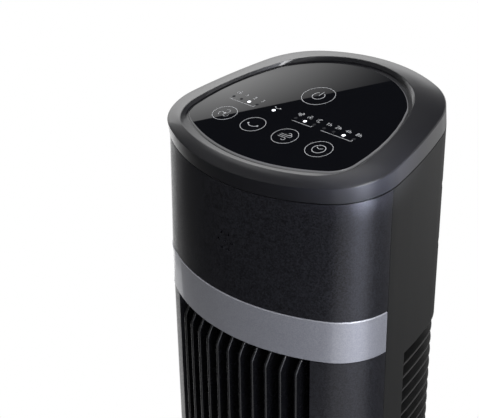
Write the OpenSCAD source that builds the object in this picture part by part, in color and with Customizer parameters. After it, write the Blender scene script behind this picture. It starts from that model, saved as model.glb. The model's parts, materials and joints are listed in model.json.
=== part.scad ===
// Tower fan with a round base, a swinging tower, a touch control cap and a cross-flow impeller.
// Millimetres. +Z is up, the outlet faces -Y, and the origin is under the middle of the base.

/* [Overall] */
// Height of the middle of the control glass above the floor
panel_h = 945; // [880:5:1000]
// Diameter of the round base
base_d = 300; // [290:2:330]
// Wall of the moulded shells
wall = 3; // [2.6:0.1:3.2]

/* [Tower plan] */
// Distance from the swing axis to the front of the tower
plan_front = 73.6; // [73:0.1:74]
// Radius of the gently curved front
front_r = 127; // [125:0.5:129]
// Radius of the front corners
corner_r = 38; // [37:0.5:39]
// Radius of the nearly flat sides
side_r = 310; // [305:1:315]
// Radius of the rear corners
heel_r = 49; // [48.5:0.1:49.5]
// Radius of the curved back
back_r = 105; // [104:0.5:107]

/* [Control cap] */
// Forward tilt of the control glass, in degrees
cap_tilt = 9.3; // [8:0.1:10]
// Forward tilt of the seam under the cap, in degrees
seam_tilt = 8.2; // [7.5:0.1:9]
// Depth of the seam under the middle of the glass
seam_drop = 13.6; // [13:0.1:15]
// Forward tilt of the rim round the glass, in degrees
rim_tilt = 9.7; // [9.4:0.1:10.1]
// Height of the rim above the middle of the glass
rim_h = 1.6; // [1.5:0.1:1.9]
// Thickness of the touch glass
glass_t = 2.5; // [2:0.1:3]

/* [Band and outlet] */
// Drop from the middle of the glass to the top of the silver band
band_drop = 96; // [92:1:104]
// Height of the silver band
band_h = 28.4; // [24:0.2:32]
// Number of upright outlet fins
fin_count = 11; // [9:2:11]
// Distance between two fins
fin_pitch = 9.5; // [8.5:0.1:9.6]
// Thickness of a fin
fin_t = 2; // [1.6:0.1:2.4]

/* [Intake] */
// Distance between two intake slats
slat_pitch = 9.5; // [8:0.5:10]
// Thickness of a slat
slat_t = 1.8; // [1.6:0.1:2.4]

/* [Fan] */
// Diameter of the cross-flow impeller
impeller_d = 84; // [80:1:86]
// Number of impeller blades
blade_count = 30; // [24:1:32]
// Number of impeller stages
stage_count = 6; // [4:1:8]

/* [Swing] */
// Swivel post radius
post_r = 16; // [15.5:0.1:16.5]
// Thickness of the two swing gears
gear_h = 8; // [6:1:9]

/* [Hidden] */
$fn = 48;

// Clearances: between pieces that only lie side by side, and between a shaft and its bore
gap = 0.3;
run = 0.05;
big = 400;

// The plans of the tower, the glass and the rim: front distance, five tangent arc radii, three arc end angles
body_plan = [plan_front, [front_r, corner_r, side_r, heel_r, back_r], [30, 97, 107]];
glass_plan = [plan_front - 13, [116, 17, 112, 30, 62], [28, 85, 117]];
rim_plan = [plan_front - 6.8, [130, 29.5, 140.5, 44, 70.5], [22.5, 91, 116]];
arc_step = 6;
split_y = -23;
intake_y = -1.5;

// Heights from the floor up
foot_h = 4;
tray_t = 2.5;
cover_edge_h = 19;
collar_h = 40;
collar_r = 48;
foot_z = collar_h + 3;
foot_t = 4;
hub_top = foot_z + 19;
gear_z = hub_top + 6;
shell_z = foot_z;
outlet_z = 206;
lower_z = 190;
band_top = panel_h - band_drop;
band_z = band_top - band_h;
upper_z = band_z - 14;
intake_top = panel_h - 137.5;
slats_from = intake_top + 1;
intake_slats = floor((slats_from - slat_t - outlet_z) / slat_pitch);
intake_z = slats_from - intake_slats * slat_pitch - slat_t;
outlet_half_w = (fin_count + 1) * fin_pitch / 2 - 1;

// Swivel and fan axes
post_bore_r = 11;
fan_y = 4;
shaft_r = 4;
gear_module = 1.5;
gear_teeth = 40;
pinion_teeth = 16;
gear_pitch_r = gear_module * gear_teeth / 2;
pinion_pitch_r = gear_module * pinion_teeth / 2;
pinion_y = gear_pitch_r + pinion_pitch_r + 0.15;
pinion_shaft_r = 2.5;
swing_can_r = 17.5;
swing_can_y = pinion_y + 8;

// ---------- plan curves ----------

// Unit vector at angle t, measured from the front (-Y) towards +X
function facing(t) = [sin(t), -cos(t)];

// Centres of the five arcs of half a plan
function arc_centres(o) =
    let(r = o[1], t = o[2],
        c0 = [0, r[0] - o[0]],
        c1 = c0 + (r[0] - r[1]) * facing(t[0]),
        c2 = c1 + (r[1] - r[2]) * facing(t[1]),
        c3 = c2 + (r[2] - r[3]) * facing(t[2]),
        t3 = last_angle(r, c3[0]),
        c4 = c3 + (r[3] - r[4]) * facing(t3))
    [c0, c1, c2, c3, c4];

// Angle at which the rear corner meets the back
function last_angle(r, x) = 180 - asin(x / (r[4] - r[3]));

// Points of the right half of a plan, from the front to the back, moved in by inset
function half_plan(o, inset, step) =
    let(c = arc_centres(o), ends = [0, o[2][0], o[2][1], o[2][2], last_angle(o[1], c[3][0]), 180])
    [for (i = [0 : 4])
        let(n = ceil((ends[i + 1] - ends[i]) / step))
        for (k = [(i == 0 ? 0 : 1) : n])
            c[i] + (o[1][i] - inset) * facing(ends[i] + k * (ends[i + 1] - ends[i]) / n)];

// Whole closed plan. Stretch makes up for the tilt of the plane that it is drawn in.
function plan_points(o, inset, stretch = 1, step = arc_step) =
    let(half = half_plan(o, inset, step), n = len(half))
    [for (p = half) [p[0], p[1] * stretch], for (i = [n - 2 : -1 : 1]) [-half[i][0], half[i][1] * stretch]];

// Y of the tower's front face at a given x, within the front arc
function front_y(x) = front_r - plan_front - sqrt(front_r * front_r - x * x);

module plan(o, inset = 0, stretch = 1, step = arc_step) {
    polygon(plan_points(o, inset, stretch, step));
}

module prism(o, inset, z0, z1) {
    translate([0, 0, z0]) linear_extrude(z1 - z0) plan(o, inset);
}

// A wall that follows the tower's plan, between two insets
module plan_wall(outer, inner, z0, z1, step = arc_step) {
    translate([0, 0, z0]) linear_extrude(z1 - z0) difference() {
        plan(body_plan, outer, 1, step);
        plan(body_plan, inner, 1, step);
    }
}

// Everything above or below a plane that leans forward by tilt and passes through height z on the axis
module above(z, tilt) {
    translate([0, 0, z]) rotate([tilt, 0, 0]) translate([-big / 2, -big / 2, 0]) cube([big, big, big]);
}

module below(z, tilt) {
    translate([0, 0, z]) rotate([tilt, 0, 0]) translate([-big / 2, -big / 2, -big * 3]) cube([big, big, big * 3]);
}

module front_half(y) {
    translate([-big / 2, y - big, -1]) cube([big, big, 1200]);
}

module rear_half(y) {
    translate([-big / 2, y, -1]) cube([big, big, 1200]);
}

// A plan drawn in a tilted plane, from depth d0 to d1 measured square to it
module tilted_prism(o, inset, tilt, d0, d1) {
    translate([0, 0, panel_h]) rotate([tilt, 0, 0]) translate([0, 0, d0])
        linear_extrude(d1 - d0) plan(o, inset, 1 / cos(tilt));
}

module glass_prism(o, inset, d0, d1) {
    tilted_prism(o, inset, cap_tilt, d0, d1);
}

module tube(r_out, r_in, z0, z1) {
    translate([0, 0, z0]) difference() {
        cylinder(r = r_out, h = z1 - z0);
        translate([0, 0, -1]) cylinder(r = r_in, h = z1 - z0 + 2);
    }
}

module disc(r, z0, z1) {
    translate([0, 0, z0]) cylinder(r = r, h = z1 - z0);
}

module box(x0, x1, y0, y1, z0, z1) {
    translate([x0, y0, z0]) cube([x1 - x0, y1 - y0, z1 - z0]);
}

module ring_of(count, r, start = 0) {
    for (i = [0 : count - 1]) rotate(start + i * 360 / count) translate([r, 0, 0]) children();
}

// Pan-head screw that points down from z, head on top
module screw(z, shank_r, head_r, head_h, length) {
    disc(shank_r, z - length, z);
    disc(head_r, z, z + head_h);
}

// ---------- gears ----------

function involute(a) = tan(a) * 180 / PI - a;
function pressure_at(base_r, r) = acos(min(1, base_r / r));

// Outline of a spur gear with a slightly thinned tooth
function gear_points(teeth) =
    let(pitch_r = gear_module * teeth / 2, base_r = pitch_r * cos(20),
        tip_r = pitch_r + 0.8 * gear_module, root_r = pitch_r - 1.15 * gear_module,
        thin = 0.08 / pitch_r * 180 / PI,
        half = 90 / teeth - thin + involute(20),
        low_r = max(base_r, root_r) + 0.01,
        steps = [0 : 3])
    [for (i = [0 : teeth - 1])
        let(mid = i * 360 / teeth)
        for (p = concat(
            [[root_r, -half]],
            [for (s = steps) let(r = low_r + s * (tip_r - low_r) / 3) [r, involute(pressure_at(base_r, r)) - half]],
            [for (s = steps) let(r = tip_r - s * (tip_r - low_r) / 3) [r, half - involute(pressure_at(base_r, r))]],
            [[root_r, half]]))
        p[0] * [cos(mid + p[1]), sin(mid + p[1])]];

module gear(teeth, bore_r, z0, z1) {
    translate([0, 0, z0]) linear_extrude(z1 - z0) difference() {
        polygon(gear_points(teeth));
        circle(r = bore_r);
    }
}

// ---------- base ----------

foot_ring_r = base_d / 2 - 22;
base_screw_ring = 100;
post_screw_ring = 24;
tray_r = base_d / 2 - 3.2;
inlet_z = 11;
inlet_r = 3.6;
tray_post_h = 14;

module rubber_feet() {
    color("#202020") ring_of(6, foot_ring_r, 30) rotate_extrude()
        polygon([[0, 0], [9, 0], [10, 1], [10, foot_h], [6, foot_h], [6, foot_h + 1], [0, foot_h + 1]]);
}

module base_tray() {
    color("#1c1c1e") difference() {
        union() {
            disc(tray_r, foot_h, foot_h + tray_t);
            tube(tray_r, tray_r - 2.5, foot_h, foot_h + 8);
            ring_of(6, base_screw_ring) disc(5, foot_h, tray_post_h);
        }
        ring_of(6, foot_ring_r, 30) disc(6, foot_h - 1, foot_h + 1);
        ring_of(6, base_screw_ring) disc(1.7, foot_h - 1, foot_h + 20);
        ring_of(6, base_screw_ring) disc(3.6, foot_h - 1, foot_h + 2);
        translate([0, base_d / 2, inlet_z]) rotate([90, 0, 0]) cylinder(r = 6.3, h = 20);
    }
}

module ballast_plate() {
    color("#707274") difference() {
        disc(base_d / 2 - 18, foot_h + tray_t, foot_h + tray_t + 4);
        disc(40, foot_h, foot_h + 20);
        ring_of(6, base_screw_ring) disc(5.5, foot_h, foot_h + 20);
    }
}

// Half section of the domed cover, outside then inside
module cover_section() {
    r = base_d / 2;
    polygon(concat(
        [[r, foot_h], [r, cover_edge_h - 6]],
        [for (a = [15 : 15 : 75]) [r - 6 + 6 * cos(a), cover_edge_h - 6 + 6 * sin(a)]],
        [[r - 8, cover_edge_h + 0.3], [r * 0.62, cover_edge_h + 5], [collar_r + 14, cover_edge_h + 8.5]],
        [for (a = [75 : -15 : 15]) [collar_r + 14 - 14 * cos(a), cover_edge_h + 22.5 - 14 * sin(a)]],
        [[collar_r, collar_h - 1], [collar_r - 1, collar_h], [34, collar_h], [34, collar_h - 4],
         [post_bore_r, collar_h - 4], [post_bore_r, collar_h - 8], [collar_r - 4, collar_h - 8],
         [collar_r - 4, cover_edge_h + 4], [r * 0.62, cover_edge_h + 1.6], [r - 8, cover_edge_h - 2.8],
         [r - 3, cover_edge_h - 7], [r - 3, foot_h]]));
}

module base_cover() {
    color("#121214") difference() {
        union() {
            rotate_extrude($fn = 96) cover_section();
            ring_of(6, base_screw_ring) disc(4.5, tray_post_h, cover_edge_h + 2);
        }
        ring_of(6, base_screw_ring) disc(1.4, foot_h, tray_post_h + 5);
        translate([0, base_d / 2 + 1, inlet_z]) rotate([90, 0, 0]) cylinder(r = 5, h = 12);
        translate([0, base_d / 2 - wall - 0.1, inlet_z]) rotate([90, 0, 0]) cylinder(r = 6.3, h = 8);
        ring_of(4, post_screw_ring, 45) disc(1.4, collar_h - 9, collar_h + 1);
    }
}

module cord_grommet() {
    color("#17181a") translate([0, base_d / 2 - 0.6, inlet_z]) rotate([90, 0, 0]) difference() {
        union() {
            cylinder(r = 5, h = 9);
            translate([0, 0, 2.7]) cylinder(r = 6, h = 4);
        }
        translate([0, 0, -1]) cylinder(r = inlet_r, h = 11);
    }
}

module base_screws() {
    color("#8a8c8e") ring_of(6, base_screw_ring) translate([0, 0, foot_h]) {
        disc(3.2, 0.2, 2);
        disc(1.4, 2, tray_post_h);
    }
}

module swivel_post() {
    color("#b9bbbd") difference() {
        union() {
            disc(33, collar_h - 4, collar_h - 0.6);
            disc(post_r, collar_h - 4, gear_z + gear_h + 2);
        }
        disc(post_bore_r, collar_h - 5, gear_z + 20);
        ring_of(4, post_screw_ring, 45) disc(1.8, collar_h - 5, collar_h + 1);
        tube(post_r + 1, post_r - 0.8, hub_top + 1.9, hub_top + 3.1);
    }
}

module post_screws() {
    color("#8a8c8e") ring_of(4, post_screw_ring, 45) screw(collar_h - 0.6, 1.4, 3, 1.8, 7.2);
}

module slip_ring() {
    color("#e4e2da") tube(46, 35, collar_h, foot_z);
}

module keeper_washer() {
    color("#c2c4c6") tube(24, post_r, hub_top + 0.2, hub_top + 1.9);
}

module retaining_ring() {
    color("#9a9c9e") difference() {
        tube(19.5, post_r - 0.8, hub_top + 1.9, hub_top + 3.1);
        box(-6, 6, 0, 30, hub_top, hub_top + 4);
    }
}

module fixed_gear() {
    color("#e8e6de") gear(gear_teeth, post_r, gear_z, gear_z + gear_h);
}

// ---------- tower foot and swing drive ----------

swing_post_x = 26;

module tower_foot() {
    color("#161618") difference() {
        union() {
            prism(body_plan, wall + gap, foot_z, foot_z + foot_t);
            disc(24, foot_z, hub_top);
            for (x = [-swing_post_x, swing_post_x]) translate([x, swing_can_y, 0])
                disc(5, foot_z, gear_z + gear_h + 3);
        }
        disc(post_r + run, foot_z - 1, hub_top + 1);
        for (x = [-swing_post_x, swing_post_x]) translate([x, swing_can_y, 0])
            disc(1.4, foot_z + foot_t + 2, gear_z + gear_h + 4);
    }
}

module swing_bracket() {
    z = gear_z + gear_h + 3;
    color("#a9abad") difference() {
        box(-swing_post_x - 6, swing_post_x + 6, swing_can_y - 15, swing_can_y + 7, z, z + 1.5);
        for (x = [-swing_post_x, swing_post_x]) translate([x, swing_can_y, 0]) disc(1.7, z - 1, z + 3);
        translate([0, pinion_y, 0]) disc(5.5, z - 1, z + 3);
    }
}

module swing_motor() {
    z = gear_z + gear_h + 4.5;
    color("#c4c6c8") difference() {
        union() {
            translate([0, swing_can_y, 0]) disc(swing_can_r, z, z + 15);
            box(-swing_post_x - 4, swing_post_x + 4, swing_can_y - 3.5, swing_can_y + 3.5, z, z + 1);
            translate([0, pinion_y, 0]) disc(5, z - 1.5, z + 1);
        }
        translate([0, pinion_y, 0]) disc(pinion_shaft_r + run, z - 2, z + 6);
        for (x = [-swing_post_x, swing_post_x]) translate([x, swing_can_y, 0]) disc(1.7, z - 1, z + 3);
    }
}

module swing_screws() {
    color("#8a8c8e") for (x = [-swing_post_x, swing_post_x]) translate([x, swing_can_y, 0])
        screw(gear_z + gear_h + 5.5, 1.4, 2.8, 1.8, 12);
}

module swing_pinion() {
    color("#e8e6de") translate([0, pinion_y, 0]) rotate(180 / pinion_teeth)
        gear(pinion_teeth, pinion_shaft_r, gear_z - 0.5, gear_z + gear_h + 0.5);
}

module pinion_shaft() {
    color("#c2c4c6") translate([0, pinion_y, 0]) disc(pinion_shaft_r, gear_z - 1.5, gear_z + gear_h + 9);
}

// ---------- shells ----------

boss_x = 64;
boss_zs = [shell_z + 37, lower_z - 25, band_top + 10, panel_h - 46];
hole_z = panel_h - 62;
cup_half_w = 48;
cup_z0 = panel_h - 87;
cup_z1 = panel_h - 46;
cup_back = 44;

module boss_places() {
    for (x = [-boss_x, boss_x], z = boss_zs) translate([x, 0, z]) rotate([-90, 0, 0]) children();
}

// Seven small sound holes: one in the middle and six round it
module sound_holes() {
    translate([0, -plan_front - 2, hole_z]) rotate([-90, 0, 0]) {
        cylinder(r = 0.6, h = 8);
        ring_of(6, 4.5, 0) cylinder(r = 0.6, h = 8);
    }
}

module front_shell() {
    color("#1c1b20") difference() {
        union() {
            intersection() {
                plan_wall(0, wall, shell_z, panel_h);
                front_half(split_y - gap / 2);
                below(panel_h - seam_drop - 0.6, seam_tilt);
            }
            intersection() {
                prism(body_plan, wall / 2, shell_z + 1, panel_h - 40);
                boss_places() translate([0, 0, -plan_front]) cylinder(r = 4.5, h = plan_front + split_y - gap / 2);
            }
            translate([0, -plan_front + wall / 2, hole_z]) rotate([-90, 0, 0]) cylinder(r = 11, h = 7);
        }
        intersection() {
            difference() {
                prism(body_plan, -2, band_z, band_top);
                prism(body_plan, 1.6, band_z - 1, band_top + 1);
            }
            front_half(split_y + 1);
        }
        box(-outlet_half_w, outlet_half_w, -plan_front - 5, -30, outlet_z, band_z);
        translate([0, -plan_front + wall + 0.8, hole_z]) rotate([-90, 0, 0]) cylinder(r = 9.3, h = 20);
        sound_holes();
        boss_places() translate([0, 0, -44]) cylinder(r = 1.5, h = 40);
    }
}

module silver_band() {
    color("#9a9ba2") intersection() {
        plan_wall(0, 1.5, band_z + 0.1, band_top - 0.1);
        front_half(split_y - gap / 2);
    }
}

module rear_shell() {
    color("#383836") difference() {
        union() {
            intersection() {
                plan_wall(0, wall, shell_z, panel_h + 20);
                rear_half(split_y + gap / 2);
                below(panel_h - seam_drop - 0.6, seam_tilt);
            }
            intersection() {
                prism(body_plan, wall / 2, shell_z + 1, panel_h - 30);
                boss_places() translate([0, 0, split_y + gap / 2]) cylinder(r = 5.5, h = 90);
            }
        }
        box(-big, big, intake_y, big, intake_z, intake_top);
        boss_places() translate([0, 0, split_y - 1]) cylinder(r = 1.8, h = 90);
        boss_places() translate([0, 0, split_y + 4.5]) cylinder(r = 3.8, h = 90);
        box(-cup_half_w - gap, cup_half_w + gap, cup_back, big, cup_z0 - gap, cup_z1 + gap);
    }
}

// The cupped carrying recess in the back of the head
module handle_cup() {
    color("#2a2a29") difference() {
        intersection() {
            box(-cup_half_w, cup_half_w, cup_back, big, cup_z0, cup_z1);
            prism(body_plan, 0.2, cup_z0 - 1, cup_z1 + 1);
        }
        box(-cup_half_w + 2, cup_half_w - 2, cup_back + 2, big, cup_z0 + 2, cup_z1 - 2);
    }
}

module shell_screws() {
    color("#8a8c8e") boss_places() translate([0, 0, split_y + 4.5]) {
        cylinder(r = 3.2, h = 2.4);
        translate([0, 0, -22]) cylinder(r = 1.5, h = 22);
    }
}

grille_depth = 9;
grille_step = 10;

// One slat, or a taller stretch of the same curved wall, behind the sides of the window
module slat(outer, z0, z1) {
    intersection() {
        plan_wall(outer, grille_depth, z0, z1, grille_step);
        rear_half(intake_y + gap);
    }
}

module rear_grille() {
    rows = intake_slats - 1;
    color("#262624") union() {
        for (k = [1 : rows]) slat(0, slats_from - k * slat_pitch - slat_t, slats_from - k * slat_pitch);
        slat(0, intake_z + gap, intake_z + slat_t);
        intersection() {
            slat(grille_depth - 3, intake_z + gap, intake_top - gap);
            for (a = [-75 : 25 : 75]) rotate(a) box(-1, 1, 0, big, intake_z, intake_top);
        }
        intersection() {
            slat(1, intake_z + gap, intake_top - gap);
            box(-big, big, intake_y, intake_y + 2.3, intake_z, intake_top);
        }
    }
}

fin_back_y = -47;
fin_sweep = 5;
fin_sweep_h = 14;

// Side view of a fin: the front edge bends back at both ends
module fin_side(front, z0, z1) {
    polygon(concat(
        [[fin_back_y, z0], [front + fin_sweep, z0]],
        [for (a = [72 : -18 : 0]) [front + fin_sweep * (1 - cos(a)), z0 + fin_sweep_h * (1 - sin(a))]],
        [for (a = [0 : 18 : 72]) [front + fin_sweep * (1 - cos(a)), z1 - fin_sweep_h * (1 - sin(a))]],
        [[front + fin_sweep, z1], [fin_back_y, z1]]));
}

module outlet_grille() {
    z0 = outlet_z + 0.5;
    z1 = band_z - 1;
    rows = 7;
    color("#0c0c0e") union() {
        for (i = [0 : fin_count - 1]) {
            x = (i - (fin_count - 1) / 2) * fin_pitch;
            translate([x - fin_t / 2, 0, 0]) rotate([90, 0, 90])
                linear_extrude(fin_t) fin_side(front_y(abs(x)), z0, z1);
        }
        for (s = [-1, 1]) translate([s * (outlet_half_w - 1.2), 0, 0])
            box(-1, 1, -51, fin_back_y, z0, z1);
        for (k = [0 : rows])
            box(-outlet_half_w + 0.2, outlet_half_w - 0.2, -50, fin_back_y,
                z0 + k * (z1 - z0 - 3) / rows, z0 + k * (z1 - z0 - 3) / rows + 3);
    }
}

// ---------- air path ----------

// Point at a given distance from the fan axis, at angle a from the front towards -X
function round_fan(r, a) = [-r * sin(a), fan_y - r * cos(a)];
impeller_r = impeller_d / 2;

module scroll_wall() {
    start = 62;
    end = 158;
    t = 2;
    radii = [for (a = [start : 8 : end]) [a, impeller_r + 2.5 + (end - a) * 0.11]];
    color("#19191b") translate([0, 0, lower_z + 3]) linear_extrude(upper_z - lower_z - 3)
        polygon(concat(
            [for (p = radii) round_fan(p[1], p[0])],
            [for (i = [len(radii) - 1 : -1 : 0]) round_fan(radii[i][1] + t, radii[i][0])],
            [[-outlet_half_w + 0.2, fin_back_y + gap], [-outlet_half_w + 2.2, fin_back_y + gap]]));
}

module air_tongue() {
    t = 2;
    lip = [for (a = [-50 : -6 : -80]) [a, impeller_r + 4 - (a + 50) * 0.05]];
    color("#19191b") translate([0, 0, lower_z + 3]) linear_extrude(upper_z - lower_z - 3)
        polygon(concat(
            [for (p = lip) round_fan(p[1], p[0])],
            [for (i = [len(lip) - 1 : -1 : 1]) round_fan(lip[i][1] + t, lip[i][0])],
            [[outlet_half_w - 0.2, fin_back_y + gap], [outlet_half_w - 2.2, fin_back_y + gap]]));
}

motor_ear_r = 50;

module lower_bulkhead() {
    color("#202022") difference() {
        prism(body_plan, wall + gap, lower_z, lower_z + 3);
        translate([0, fan_y, 0]) {
            disc(20, lower_z - 1, lower_z + 4);
            ring_of(4, motor_ear_r, 45) disc(2, lower_z - 1, lower_z + 4);
        }
    }
}

// A ring hangs from the bulkhead and closes most of the slot above the impeller
end_ring_r = 42;
end_ring_t = 2;
end_ring_gap = 1.5;
impeller_slot = 6;

module upper_bulkhead() {
    color("#202022") difference() {
        union() {
            intersection() {
                union() {
                    prism(body_plan, wall + grille_depth + 1, upper_z, upper_z + 3);
                    intersection() {
                        prism(body_plan, wall + gap, upper_z, upper_z + 3);
                        front_half(intake_y);
                    }
                }
                rear_half(fin_back_y + gap);
            }
            translate([0, fan_y, 0]) {
                disc(17, upper_z, upper_z + 13);
                tube(end_ring_r, end_ring_r - end_ring_t, upper_z - impeller_slot + end_ring_gap, upper_z + 1);
            }
        }
        translate([0, fan_y, 0]) disc(14, upper_z - 1, upper_z + 14);
    }
}

module bush_mount() {
    color("#2b2b2b") translate([0, fan_y, 0]) tube(14, 8, upper_z + 1, upper_z + 12);
}

module top_bush() {
    color("#b08d4a") translate([0, fan_y, 0]) tube(8, 3 + run, upper_z + 1.5, upper_z + 11.5);
}

// ---------- impeller ----------

impeller_z = lower_z + 10;
impeller_top = upper_z - impeller_slot;
blade_in_r = impeller_r - 9;

// Curved blade section between the inner and outer blade circles
module blade_plan() {
    steps = [0 : 0.2 : 1];
    half_t = 0.55;
    function at(s, side) = let(r = blade_in_r + s * (impeller_r - 0.3 - blade_in_r), a = 13 * s * s)
        r * [cos(a + side * half_t / r * 180 / PI), sin(a + side * half_t / r * 180 / PI)];
    polygon(concat([for (s = steps) at(s, -1)], [for (s = steps) at(1 - s, 1)]));
}

module impeller() {
    disc_t = 2.4;
    span = impeller_top - impeller_z - disc_t;
    color("#2c2d30") translate([0, fan_y, 0]) union() {
        translate([0, 0, impeller_z + 1]) linear_extrude(span) for (i = [0 : blade_count - 1])
            rotate(i * 360 / blade_count) blade_plan();
        for (k = [0 : stage_count]) {
            z = impeller_z + k * span / stage_count;
            tube(impeller_r, k == 0 ? 14 : k == stage_count ? 3 : blade_in_r - 3, z, z + disc_t);
        }
    }
}

module impeller_hub() {
    color("#3a3a3c") translate([0, fan_y, 0]) union() {
        tube(14, shaft_r, impeller_z - 3, impeller_z + 6);
        tube(17, 13, impeller_z - 3, impeller_z);
    }
}

module impeller_pin() {
    color("#c2c4c6") translate([0, fan_y, 0]) union() {
        disc(3, impeller_top - 2.4, upper_z + 11);
        disc(8, impeller_top, impeller_top + 1);
    }
}

// ---------- fan motor ----------

stack_z = lower_z - 52;
stack_h = 24;
stack_r = 40;

module motor_laminations() {
    color("#6e7072") translate([0, fan_y, 0]) tube(stack_r, 22.5, stack_z, stack_z + stack_h);
}

module motor_windings() {
    color("#b06a34") translate([0, fan_y, 0]) {
        tube(35, 24, stack_z - 9, stack_z);
        tube(35, 24, stack_z + stack_h, stack_z + stack_h + 9);
    }
}

// Cast end bracket: a cup with a bearing seat. Drawn for the lower end, with its rim at z = 0.
module end_bracket() {
    difference() {
        disc(stack_r, -18, 0);
        disc(stack_r - 3, -15, 1);
        disc(8, -19, 1);
    }
    tube(12, 8, -18, -8);
}

module lower_motor_bracket() {
    color("#a4a6a8") translate([0, fan_y, stack_z]) end_bracket();
}

module upper_motor_bracket() {
    z = stack_z + stack_h;
    color("#a4a6a8") translate([0, fan_y, 0]) difference() {
        union() {
            translate([0, 0, z]) mirror([0, 0, 1]) end_bracket();
            ring_of(4, motor_ear_r, 45) disc(7, z + 14, z + 18);
            for (a = [45 : 90 : 315]) rotate(a) box(stack_r - 2, motor_ear_r - 1, -6, 6, z + 14, z + 18);
        }
        ring_of(4, motor_ear_r, 45) disc(2.3, z + 13, z + 19);
    }
}

module motor_bearings() {
    color("#b08d4a") translate([0, fan_y, 0]) {
        tube(8, shaft_r + run, stack_z - 18, stack_z - 8);
        tube(8, shaft_r + run, stack_z + stack_h + 8, stack_z + stack_h + 18);
    }
}

module motor_grommets() {
    color("#2b2b2b") translate([0, fan_y, 0]) ring_of(4, motor_ear_r, 45)
        tube(6, 2.3, stack_z + stack_h + 18, lower_z);
}

module motor_screws() {
    color("#8a8c8e") translate([0, fan_y, 0]) ring_of(4, motor_ear_r, 45) {
        disc(3.6, stack_z + stack_h + 12, stack_z + stack_h + 14);
        disc(2, stack_z + stack_h + 14, lower_z + 3);
    }
}

module motor_capacitor() {
    color("#22262c") box(-66, -48, -15, 17, foot_z + foot_t, foot_z + foot_t + 24);
}

module motor_rotor() {
    color("#8c8e90") translate([0, fan_y, 0]) tube(22, shaft_r, stack_z - 1, stack_z + stack_h + 1);
}

module motor_shaft() {
    color("#c2c4c6") translate([0, fan_y, 0]) disc(shaft_r, stack_z - 20, impeller_z + 10);
}

// ---------- control head ----------

// Places on the glass: four touch areas in a shallow arc, and one for power
key_places = [[-39.8, -30.2], [-15.7, -32.2], [9.7, -32.2], [33.8, -30.2], [-4.8, 13.2]];
crease_drop = 2.4;
crease_inset = 1.2;
rim_w = 0.6;
floor_d = -glass_t - 2;
board_d = floor_d - 8;
board_places = [[-46, -38], [46, -38], [-46, 34], [46, 34]];

module on_glass(places) {
    translate([0, 0, panel_h]) rotate([cap_tilt, 0, 0]) for (p = places) translate([p[0], p[1], 0]) children();
}

// Outer form of the cap: side lip, crease, then a slope that rises to the rim
module cap_form() {
    intersection() {
        prism(body_plan, 0, panel_h - 60, panel_h + 40);
        above(panel_h - seam_drop, seam_tilt);
        below(panel_h - crease_drop - 1.3, cap_tilt);
    }
    hull() {
        glass_prism(body_plan, 0, -crease_drop - 1.4, -crease_drop - 1.2);
        glass_prism(body_plan, crease_inset, -crease_drop - 0.1, -crease_drop);
        tilted_prism(rim_plan, 0, rim_tilt, rim_h - 0.3, rim_h);
    }
}

// The dish: a narrow slope all round that falls from the rim to the glass
module cap_dish() {
    hull() {
        glass_prism(glass_plan, -0.3, -0.1, 0.1);
        tilted_prism(rim_plan, rim_w, rim_tilt, rim_h + 0.1, rim_h + 0.4);
    }
    glass_prism(glass_plan, -0.2, -glass_t, 0);
}

module control_cap() {
    color("#2b2b2e") difference() {
        union() {
            difference() {
                cap_form();
                intersection() {
                    prism(body_plan, wall, panel_h - 60, panel_h + 40);
                    below(panel_h + floor_d, cap_tilt);
                }
            }
            intersection() {
                plan_wall(wall + gap, wall + gap + 2, panel_h - 60, panel_h + 40);
                above(panel_h - seam_drop - 6, seam_tilt);
                below(panel_h + floor_d + 0.1, cap_tilt);
            }
            on_glass(board_places) disc(4, board_d, floor_d + 0.1);
        }
        cap_dish();
        on_glass(key_places) disc(6, floor_d - 1, 0);
        on_glass([[0, 0]]) box(-54, 54, -21, -5, floor_d - 1, 0);
        on_glass(board_places) disc(1.3, board_d - 1, floor_d - 0.5);
    }
}

module touch_glass() {
    color("#111216") glass_prism(glass_plan, 0.1, -glass_t, 0);
}

module control_board() {
    color("#2f5a3c") difference() {
        on_glass([[0, 0]]) box(-50, 50, -42, 38, board_d - 1.6, board_d);
        on_glass(board_places) disc(1.6, board_d - 3, board_d + 1);
    }
}

module light_block() {
    color("#d8d8d2") difference() {
        on_glass([[0, 0]]) box(-53, 53, -20, -6, board_d, floor_d);
        on_glass([for (x = [-49, -42, -35.5, -29, -15.5, 2, 9, 16.5, 24, 31.2, 38.6, 46.2]) [x, -14]])
            disc(1.8, board_d - 1, floor_d + 1);
    }
}

module touch_springs() {
    color("#c2c4c6") on_glass(key_places) tube(4.5, 3.5, board_d, -glass_t);
}

module cap_screws() {
    color("#8a8c8e") on_glass(board_places) {
        disc(2.8, board_d - 3.4, board_d - 1.6);
        disc(1.3, board_d - 1.6, floor_d - 0.5);
    }
}

module power_board() {
    color("#2f5a3c") difference() {
        union() {
            box(-42, 42, 26, 27.6, upper_z + 3, upper_z + 60);
            box(-30, -8, 10, 26, upper_z + 18, upper_z + 36);
            translate([10, 26, upper_z + 30]) rotate([90, 0, 0]) cylinder(r = 6, h = 14);
            box(24, 38, 16, 26, upper_z + 10, upper_z + 26);
        }
        for (x = [-37, 37]) translate([x, 20, upper_z + 54]) rotate([-90, 0, 0]) cylinder(r = 1.7, h = 10);
    }
}

module beeper() {
    color("#17181a") translate([0, -plan_front + wall + 0.8 + 0.2, hole_z]) rotate([-90, 0, 0]) difference() {
        cylinder(r = 9.2, h = 5);
        translate([0, 0, -1]) cylinder(r = 7, h = 3);
    }
}

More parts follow.
